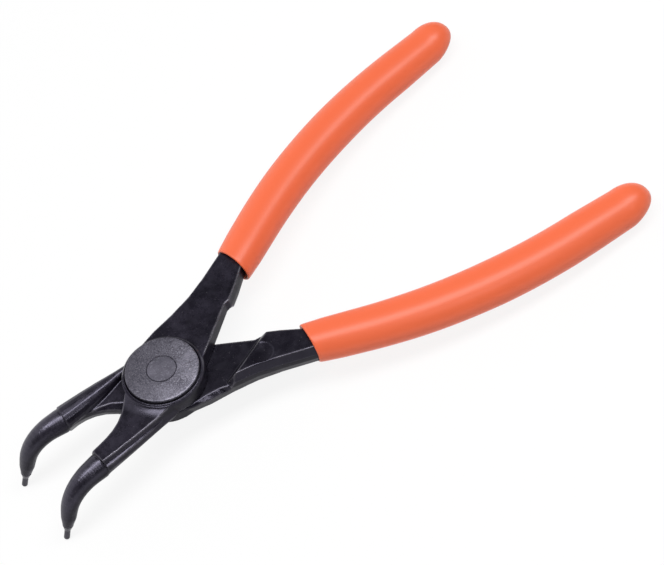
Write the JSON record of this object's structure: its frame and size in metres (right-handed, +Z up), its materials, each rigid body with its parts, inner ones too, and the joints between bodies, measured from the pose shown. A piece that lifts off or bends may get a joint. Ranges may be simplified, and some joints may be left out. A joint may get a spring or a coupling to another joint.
{
  "type": "circlip pliers",
  "caption": "Internal circlip pliers: black forged levers crossing at a round grey joint disc, noses bent downwards to slim tips, bowed handles in orange dipped grips.",
  "frame": {"origin": "centre of the footprint, on the table that both grips and both tips rest on", "axes": "+X from the tips to the handles, +Y towards the upper lever's handle, +Z up"},
  "size_m": [0.1789, 0.0962, 0.0201],
  "materials": {
    "black_steel": "black phosphated forged tool steel, satin, slightly mottled",
    "grey_steel": "grey steel with a fine blasted grain",
    "spring_steel": "plain drawn spring wire",
    "dipped_plastic": "orange dipped soft plastic, semi-gloss",
    "tip_steel": "hard drawn wire, dark"
  },
  "bodies": {
    "lower_half": {"lower_lever": "black_steel", "lower_grip": "dipped_plastic", "lower_tip": "tip_steel", "pivot_bolt": "grey_steel", "joint_disc": "grey_steel", "return_spring": "spring_steel"},
    "upper_half": {"upper_lever": "black_steel", "upper_grip": "dipped_plastic", "upper_tip": "tip_steel"}
  },
  "joints": [
    {"name": "joint_pivot", "type": "hinge", "parent": "lower_half", "child": "upper_half", "pos_m": [-0.04309, 0, 0.01395], "axis": [0.0719, 0, 0.9974], "range_deg": [-21.5, 6], "stiffness_Nm_per_rad": 2, "deforming": ["return_spring"]}
  ]
}
